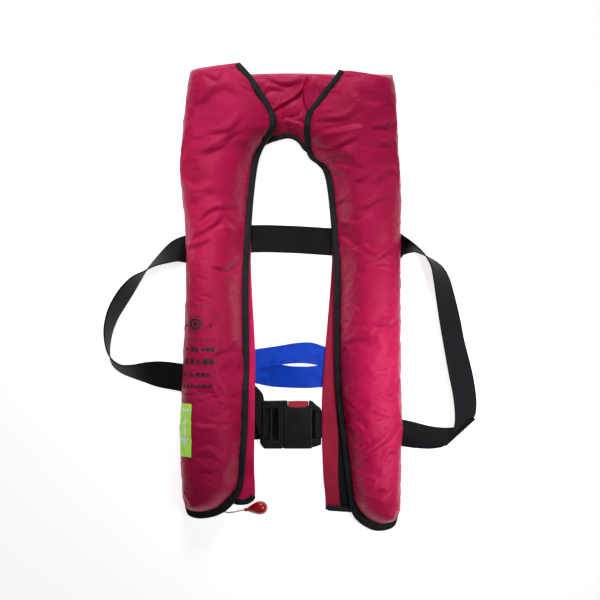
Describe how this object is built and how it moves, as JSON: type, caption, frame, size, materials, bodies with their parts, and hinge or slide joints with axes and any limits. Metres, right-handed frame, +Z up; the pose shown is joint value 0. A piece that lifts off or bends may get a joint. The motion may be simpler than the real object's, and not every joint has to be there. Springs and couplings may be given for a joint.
{
  "type": "inflatable life jacket",
  "caption": "Inflatable life jacket laid flat: two padded cloth lobes joined by a collar, bound edges, waist belt with buckle, lifting loop and a pull-cord inflator inside.",
  "frame": {"origin": "middle of the resting face, under the middle of the jacket", "axes": "+Y from the lobes' lower ends towards the collar, +X towards the wearer's left, +Z up off the surface that the jacket lies on, out of its front"},
  "size_m": [0.496, 0.6218, 0.047],
  "materials": {
    "cover_cloth": "coated nylon taffeta, soft sheen, puckered",
    "lining_cloth": "coated nylon, smooth",
    "binding_tape": "folded ribbed tape",
    "hook_and_loop": "hook and loop tape",
    "bladder_cloth": "polyurethane-coated cloth, folded",
    "belt_webbing": "woven polyester webbing",
    "blue_webbing": "woven satin-edged webbing",
    "buckle_plastic": "moulded acetal, fine texture",
    "button_plastic": "moulded acetal",
    "spring_wire": "drawn wire",
    "handle_plastic": "moulded, glossy",
    "lanyard_cord": "braided cord",
    "label_cloth": "printed satin tab",
    "inflator_plastic": "moulded nylon",
    "bare_metal": "stainless, machined",
    "brass": "machined",
    "cylinder_metal": "zinc plated, clear coat",
    "seal_rubber": "moulded",
    "tube_rubber": "extruded, matt",
    "valve_plastic": "moulded",
    "whistle_plastic": "moulded"
  },
  "bodies": {
    "jacket": {"back_belt": "belt_webbing", "belt_keepers": "belt_webbing", "bladder_left_fold": "bladder_cloth", "bladder_right_fold": "bladder_cloth", "buckle_female": "buckle_plastic", "button_spring": "spring_wire", "cylinder_gasket": "seal_rubber", "inflator_body": "inflator_plastic", "left_back_hem": "binding_tape", "left_back_panel": "lining_cloth", "left_belt_loop": "belt_webbing", "left_front_belt": "belt_webbing", "left_loop_tape": "hook_and_loop", "left_shoulder_binding": "binding_tape", "left_shoulder_cover": "cover_cloth", "left_side_panel": "cover_cloth", "lever_pin": "bare_metal", "lifting_loop": "blue_webbing", "loop_anchor": "blue_webbing", "manifold_nut": "bare_metal", "manifold_stem": "bare_metal", "neck_back_panel": "lining_cloth", "neck_binding": "binding_tape", "neck_bladder_fold": "bladder_cloth", "neck_cover": "cover_cloth", "oral_tube": "tube_rubber", "oral_tube_elbow": "tube_rubber", "oral_tube_flange": "tube_rubber", "oral_valve_body": "valve_plastic", "oral_valve_spring": "spring_wire", "piercing_spring": "spring_wire", "pull_lanyard": "lanyard_cord", "right_back_hem": "binding_tape", "right_back_panel": "lining_cloth", "right_belt_loop": "belt_webbing", "right_front_belt": "belt_webbing", "right_loop_tape": "hook_and_loop", "right_panel_strip": "lining_cloth", "right_shoulder_binding": "binding_tape", "right_shoulder_cover": "cover_cloth", "right_side_panel": "cover_cloth", "whistle": "whistle_plastic", "whistle_cord": "lanyard_cord"},
    "right_flap": {"right_front_flap": "cover_cloth", "right_flap_binding": "binding_tape", "right_hook_tape": "hook_and_loop", "pull_label": "label_cloth"},
    "left_flap": {"left_front_flap": "cover_cloth", "left_flap_binding": "binding_tape", "left_hook_tape": "hook_and_loop"},
    "buckle_tongue": {"buckle_male": "buckle_plastic", "adjuster_strap": "belt_webbing", "belt_tail": "belt_webbing"},
    "button": {"release_button": "button_plastic"},
    "handle": {"pull_handle": "handle_plastic"},
    "lever": {"inflator_lever": "inflator_plastic"},
    "striker": {"piercing_pin": "brass"},
    "bottle": {"co2_cylinder": "cylinder_metal"},
    "cap": {"oral_cap": "valve_plastic"},
    "poppet": {"oral_valve_poppet": "seal_rubber"}
  },
  "joints": [
    {"name": "right_flap_open", "type": "hinge", "parent": "jacket", "child": "right_flap", "pos_m": [-0.1415, 0.06, 0.0275], "axis": [-0.02, -0.9998, 0], "range_deg": [0, 100]},
    {"name": "left_flap_open", "type": "hinge", "parent": "jacket", "child": "left_flap", "pos_m": [0.1475, 0.06, 0.0275], "axis": [0, 1, 0], "range_deg": [0, 100]},
    {"name": "buckle_release", "type": "slide", "parent": "jacket", "child": "buckle_tongue", "axis": [-1, 0, 0], "range_m": [0, 0.031]},
    {"name": "button_press", "type": "slide", "parent": "jacket", "child": "button", "axis": [0, -1, 0], "range_m": [0, 0.0035], "stiffness_N_per_m": 800, "deforming": ["button_spring"]},
    {"name": "handle_pull", "type": "slide", "parent": "jacket", "child": "handle", "axis": [0.9853, 0.171, 0], "range_m": [0, 0.019]},
    {"name": "lever_swing", "type": "hinge", "parent": "jacket", "child": "lever", "pos_m": [-0.1, -0.258, 0.01325], "axis": [0, 0, 1], "range_deg": [0, 60]},
    {"name": "piercing_stroke", "type": "slide", "parent": "jacket", "child": "striker", "axis": [0, 1, 0], "range_m": [0, 0.004], "deforming": ["piercing_spring"]},
    {"name": "bottle_unscrew", "type": "hinge", "parent": "jacket", "child": "bottle", "pos_m": [-0.108, -0.204, 0.025], "axis": [0, 1, 0], "continuous": true},
    {"name": "cap_pull", "type": "slide", "parent": "jacket", "child": "cap", "axis": [0, 1, 0], "range_m": [0, 0.016]},
    {"name": "oral_valve_press", "type": "slide", "parent": "jacket", "child": "poppet", "axis": [0, -1, 0], "range_m": [0, 0.0015], "stiffness_N_per_m": 300, "deforming": ["oral_valve_spring"]}
  ],
  "couplings": [
    {"joint": "lever_swing", "follows": "handle_pull", "rad_per_m": 55},
    {"joint": "piercing_stroke", "follows": "handle_pull", "ratio": 0.2}
  ]
}
